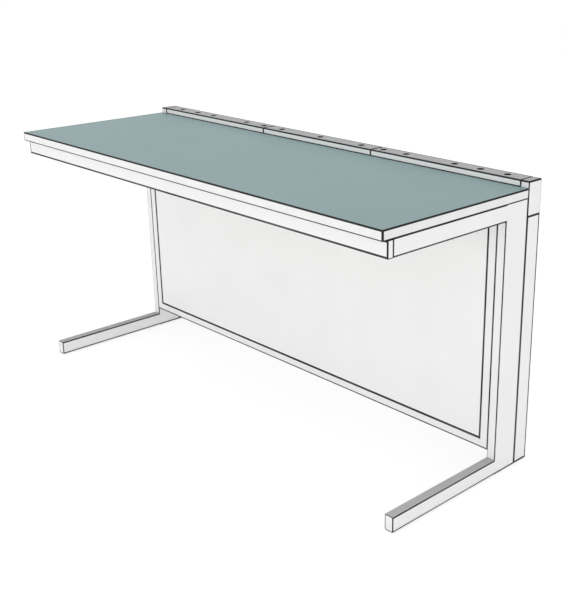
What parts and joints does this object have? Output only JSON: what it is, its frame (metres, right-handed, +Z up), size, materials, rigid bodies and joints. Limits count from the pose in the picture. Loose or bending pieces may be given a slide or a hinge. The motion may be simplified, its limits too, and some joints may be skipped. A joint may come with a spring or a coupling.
{
  "type": "laboratory bench",
  "caption": "Free-standing laboratory bench: C-frames, laminate worktop, front rail, framed back panel and a low rear service ledge with sockets.",
  "frame": {"origin": "on the floor, under the middle of the bench", "axes": "+X along the bench to its right end, +Y to the rear, +Z up"},
  "size_m": [1.8, 0.66, 0.9],
  "materials": {
    "white_powder_coat": "fine orange-peel powder coat on steel",
    "white_moulded_cap": "white moulded plastic, fine spark texture",
    "green_blue_laminate": "high-pressure laminate, fine pearl texture",
    "white_laminate": "white balancing laminate",
    "chipboard": "raw chipboard core",
    "white_edging": "extruded polypropylene edging",
    "grey_strip": "grey extruded strip, fine matt texture",
    "black_socket": "black moulded nylon",
    "black_pad": "black moulded nylon",
    "galvanised_sheet": "galvanised sheet steel",
    "zinc_plated_steel": "bright zinc plating"
  },
  "bodies": {
    "bench": {"angle_brackets": "galvanised_sheet", "arm_tube_left": "white_powder_coat", "arm_tube_right": "white_powder_coat", "bracket_screws": "zinc_plated_steel", "edge_band_front": "white_edging", "edge_band_left": "white_edging", "edge_band_right": "white_edging", "end_cap_inlays": "grey_strip", "foot_end_cap_left": "white_moulded_cap", "foot_end_cap_right": "white_moulded_cap", "foot_scuff_strip_left": "grey_strip", "foot_scuff_strip_right": "grey_strip", "foot_tube_left": "white_powder_coat", "foot_tube_right": "white_powder_coat", "frame_bolts": "zinc_plated_steel", "front_rail": "white_powder_coat", "front_rail_cap_left": "white_moulded_cap", "front_rail_cap_right": "white_moulded_cap", "hood_hangers": "galvanised_sheet", "ledge_end_cap_left": "white_moulded_cap", "ledge_end_cap_right": "white_moulded_cap", "leveller_nut_blocks": "zinc_plated_steel", "panel_clips": "galvanised_sheet", "panel_frame_bottom": "white_powder_coat", "panel_frame_left": "white_powder_coat", "panel_frame_right": "white_powder_coat", "panel_frame_top": "white_powder_coat", "rear_post_left": "white_powder_coat", "rear_post_right": "white_powder_coat", "rivet_nuts": "zinc_plated_steel", "service_rail": "white_powder_coat", "upright_left": "white_powder_coat", "upright_right": "white_powder_coat", "worktop_backing": "white_laminate", "worktop_core": "chipboard", "worktop_screws": "zinc_plated_steel", "worktop_surface": "green_blue_laminate"},
    "infill": {"infill_panel": "white_powder_coat", "panel_studs": "zinc_plated_steel"},
    "left_hood": {"hood_left": "white_powder_coat", "hood_inlay_left": "grey_strip", "sockets_left": "black_socket", "socket_nuts_left": "zinc_plated_steel"},
    "middle_hood": {"hood_middle": "white_powder_coat", "hood_inlay_middle": "grey_strip", "sockets_middle": "black_socket", "socket_nuts_middle": "zinc_plated_steel"},
    "right_hood": {"hood_right": "white_powder_coat", "hood_inlay_right": "grey_strip", "sockets_right": "black_socket", "socket_nuts_right": "zinc_plated_steel"},
    "front_left_pad": {"leveller_pad_front_left": "black_pad"},
    "front_left_spindle": {"leveller_spindle_front_left": "zinc_plated_steel"},
    "front_right_pad": {"leveller_pad_front_right": "black_pad"},
    "front_right_spindle": {"leveller_spindle_front_right": "zinc_plated_steel"},
    "rear_left_pad": {"leveller_pad_rear_left": "black_pad"},
    "rear_left_spindle": {"leveller_spindle_rear_left": "zinc_plated_steel"},
    "rear_right_pad": {"leveller_pad_rear_right": "black_pad"},
    "rear_right_spindle": {"leveller_spindle_rear_right": "zinc_plated_steel"}
  },
  "joints": [
    {"name": "infill_pull", "type": "slide", "parent": "bench", "child": "infill", "axis": [0, -1, 0], "range_m": [0, 0.1]},
    {"name": "left_hood_lift", "type": "slide", "parent": "bench", "child": "left_hood", "axis": [0, 0, 1], "range_m": [0, 0.12]},
    {"name": "middle_hood_lift", "type": "slide", "parent": "bench", "child": "middle_hood", "axis": [0, 0, 1], "range_m": [0, 0.12]},
    {"name": "right_hood_lift", "type": "slide", "parent": "bench", "child": "right_hood", "axis": [0, 0, 1], "range_m": [0, 0.12]},
    {"name": "front_left_leveller_travel", "type": "slide", "parent": "bench", "child": "front_left_pad", "axis": [0, 0, -1], "range_m": [0, 0.015]},
    {"name": "front_left_leveller_screw", "type": "hinge", "parent": "front_left_pad", "child": "front_left_spindle", "pos_m": [-0.885, -0.2385, 0.01], "axis": [0, 0, -1], "range_deg": [0, 3600]},
    {"name": "front_right_leveller_travel", "type": "slide", "parent": "bench", "child": "front_right_pad", "axis": [0, 0, -1], "range_m": [0, 0.015]},
    {"name": "front_right_leveller_screw", "type": "hinge", "parent": "front_right_pad", "child": "front_right_spindle", "pos_m": [0.885, -0.2385, 0.01], "axis": [0, 0, -1], "range_deg": [0, 3600]},
    {"name": "rear_left_leveller_travel", "type": "slide", "parent": "bench", "child": "rear_left_pad", "axis": [0, 0, -1], "range_m": [0, 0.015]},
    {"name": "rear_left_leveller_screw", "type": "hinge", "parent": "rear_left_pad", "child": "rear_left_spindle", "pos_m": [-0.885, 0.22, 0.01], "axis": [0, 0, -1], "range_deg": [0, 3600]},
    {"name": "rear_right_leveller_travel", "type": "slide", "parent": "bench", "child": "rear_right_pad", "axis": [0, 0, -1], "range_m": [0, 0.015]},
    {"name": "rear_right_leveller_screw", "type": "hinge", "parent": "rear_right_pad", "child": "rear_right_spindle", "pos_m": [0.885, 0.22, 0.01], "axis": [0, 0, -1], "range_deg": [0, 3600]}
  ],
  "couplings": [
    {"joint": "front_left_leveller_screw", "follows": "front_left_leveller_travel", "rad_per_m": 4188.8},
    {"joint": "front_right_leveller_screw", "follows": "front_right_leveller_travel", "rad_per_m": 4188.8},
    {"joint": "rear_left_leveller_screw", "follows": "rear_left_leveller_travel", "rad_per_m": 4188.8},
    {"joint": "rear_right_leveller_screw", "follows": "rear_right_leveller_travel", "rad_per_m": 4188.8}
  ]
}
